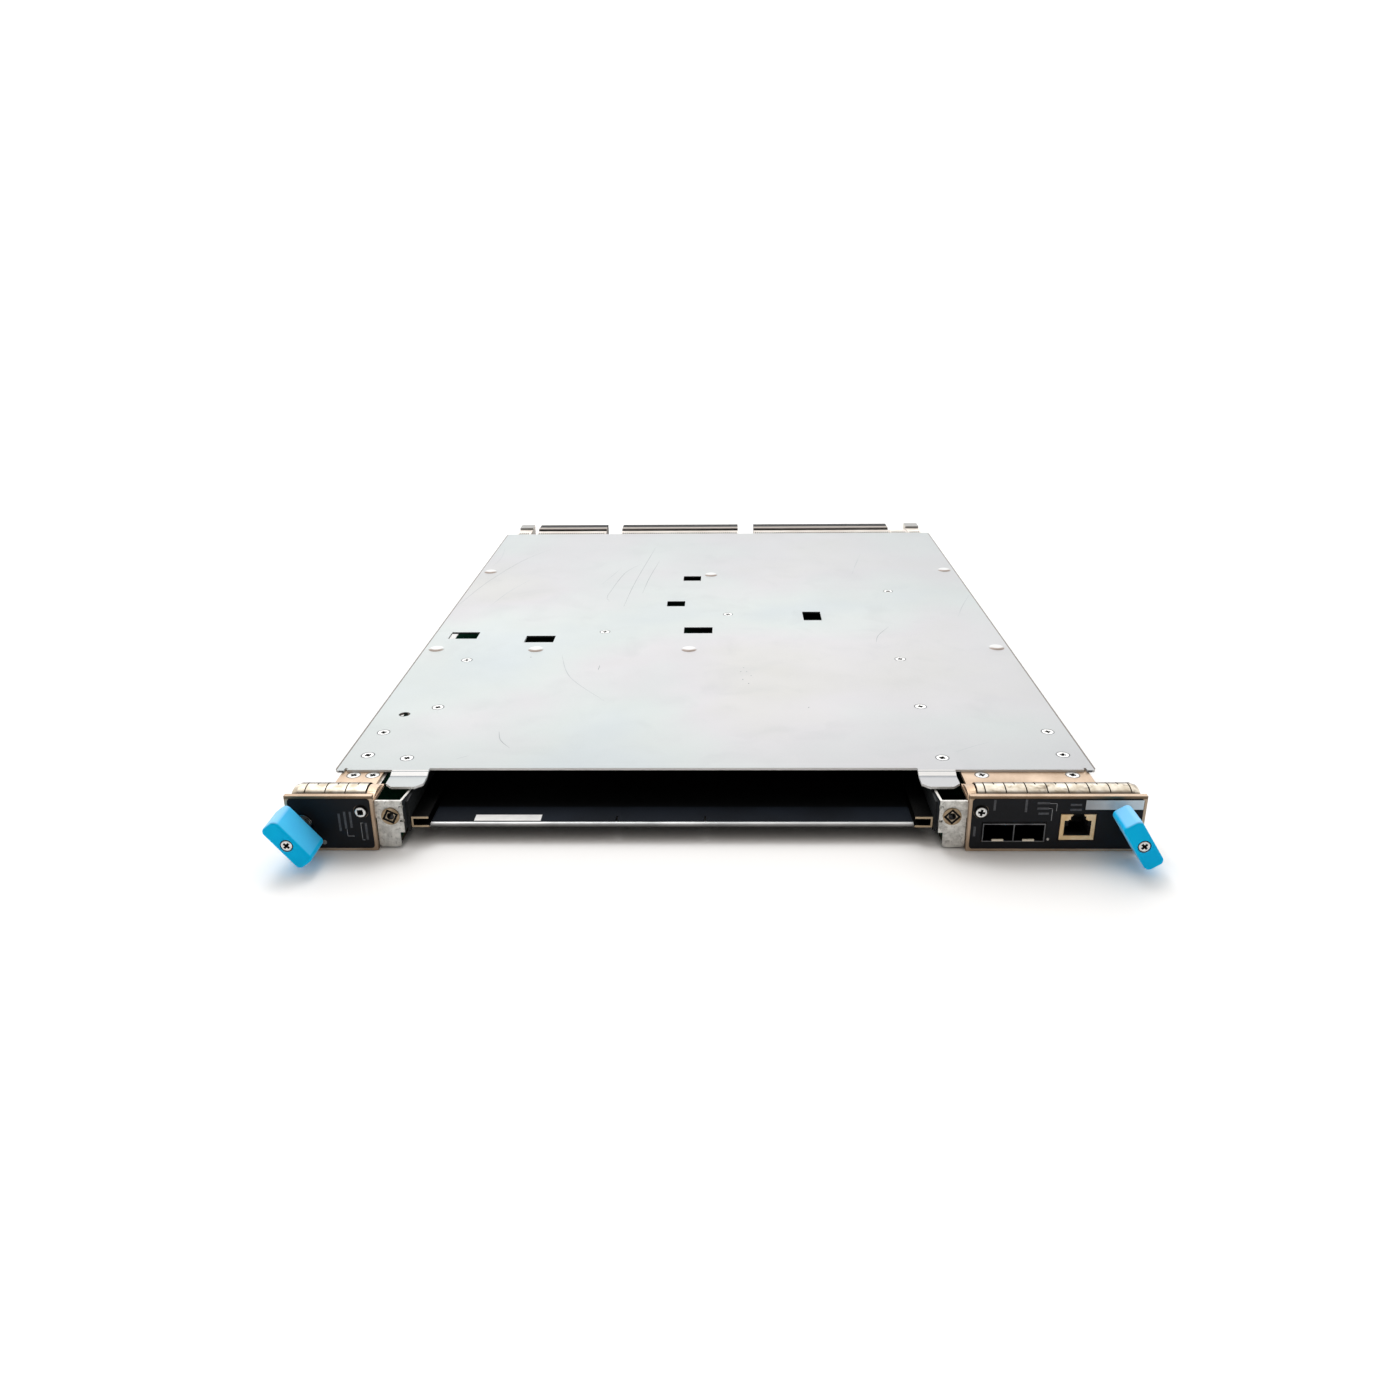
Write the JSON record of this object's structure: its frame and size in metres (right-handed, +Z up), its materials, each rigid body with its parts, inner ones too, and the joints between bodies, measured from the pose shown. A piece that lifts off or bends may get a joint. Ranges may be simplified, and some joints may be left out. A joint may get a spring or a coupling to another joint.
{
  "type": "switch control board",
  "caption": "Flat switch control card with a sheet-metal cover, dark front plates, an open bay for a plug-in control module, network ports, rear connectors and turning ejector grips.",
  "frame": {"origin": "on the surface that the card lies on, under the middle of its bounding box", "axes": "+X to the right seen from the front, +Y from the front plates to the rear connectors, +Z up from the board to the cover"},
  "size_m": [0.4134, 0.5816, 0.0297],
  "materials": {
    "cover_zinc": "zinc plated, fine scratches",
    "face_bronze": "bronze chromate",
    "overlay_dark": "matt printed film",
    "contact_strip": "worn spring metal",
    "bracket_zinc": "galvanised",
    "bay_zinc": "zinc plated",
    "bay_film": "matt insulating film",
    "rail_tan": "moulded",
    "nut_bronze": "bronze plated",
    "nut_steel": "oiled",
    "grip_blue": "satin moulded",
    "screw_steel": "bright zinc",
    "shaft_steel": "turned",
    "bushing_chrome": "bright plated",
    "board_green": "solder mask",
    "post_steel": "plated",
    "chip_black": "moulded",
    "sink_aluminium": "black anodised",
    "can_aluminium": "drawn",
    "connector_dark": "moulded",
    "connector_cream": "moulded",
    "guide_grey": "die cast",
    "cage_steel": "plated",
    "jack_gold": "plated",
    "lens_grey": "clear moulded"
  },
  "bodies": {
    "chassis": {"top_cover": "cover_zinc", "left_faceplate": "face_bronze", "right_faceplate": "face_bronze", "left_overlay": "overlay_dark", "right_overlay": "overlay_dark", "left_gasket": "contact_strip", "right_gasket": "contact_strip", "left_bracket": "bracket_zinc", "right_bracket": "bracket_zinc", "left_bay_wall": "bay_zinc", "right_bay_wall": "bay_zinc", "bay_floor": "bay_zinc", "bay_film": "bay_film", "left_rail": "rail_tan", "right_rail": "rail_tan", "nut_retainers": "nut_bronze", "floating_nuts": "nut_steel", "cover_screws": "screw_steel", "flange_screws": "screw_steel", "face_screws": "screw_steel", "left_bushing": "bushing_chrome", "right_bushing": "bushing_chrome", "main_board": "board_green", "cover_standoffs": "post_steel", "flange_standoff": "post_steel", "bay_spacers": "post_steel", "fabric_chips": "chip_black", "control_chip": "chip_black", "power_modules": "chip_black", "left_heat_sink": "sink_aluminium", "right_heat_sink": "sink_aluminium", "bulk_capacitors": "can_aluminium", "left_housing": "connector_dark", "middle_housing": "connector_dark", "right_housing": "connector_dark", "module_connector": "connector_dark", "sfp_connectors": "connector_dark", "rj45_insert": "connector_dark", "left_wafers": "connector_cream", "middle_wafers": "connector_cream", "right_wafers": "connector_cream", "power_block": "connector_cream", "left_guide": "guide_grey", "right_guide": "guide_grey", "sfp_cage": "cage_steel", "rj45_shield": "jack_gold", "rj45_contacts": "jack_gold", "status_lens": "lens_grey"},
    "left_ejector": {"left_grip": "grip_blue", "left_grip_screw": "screw_steel", "left_jackscrew": "shaft_steel", "left_clip": "shaft_steel"},
    "right_ejector": {"right_grip": "grip_blue", "right_grip_screw": "screw_steel", "right_jackscrew": "shaft_steel", "right_clip": "shaft_steel"}
  },
  "joints": [
    {"name": "left_ejector_turn", "type": "hinge", "parent": "chassis", "child": "left_ejector", "pos_m": [-0.1965, -0.2682, 0.0152], "axis": [0, 1, 0], "continuous": true},
    {"name": "right_ejector_turn", "type": "hinge", "parent": "chassis", "child": "right_ejector", "pos_m": [0.1965, -0.2682, 0.0152], "axis": [0, 1, 0], "continuous": true}
  ]
}
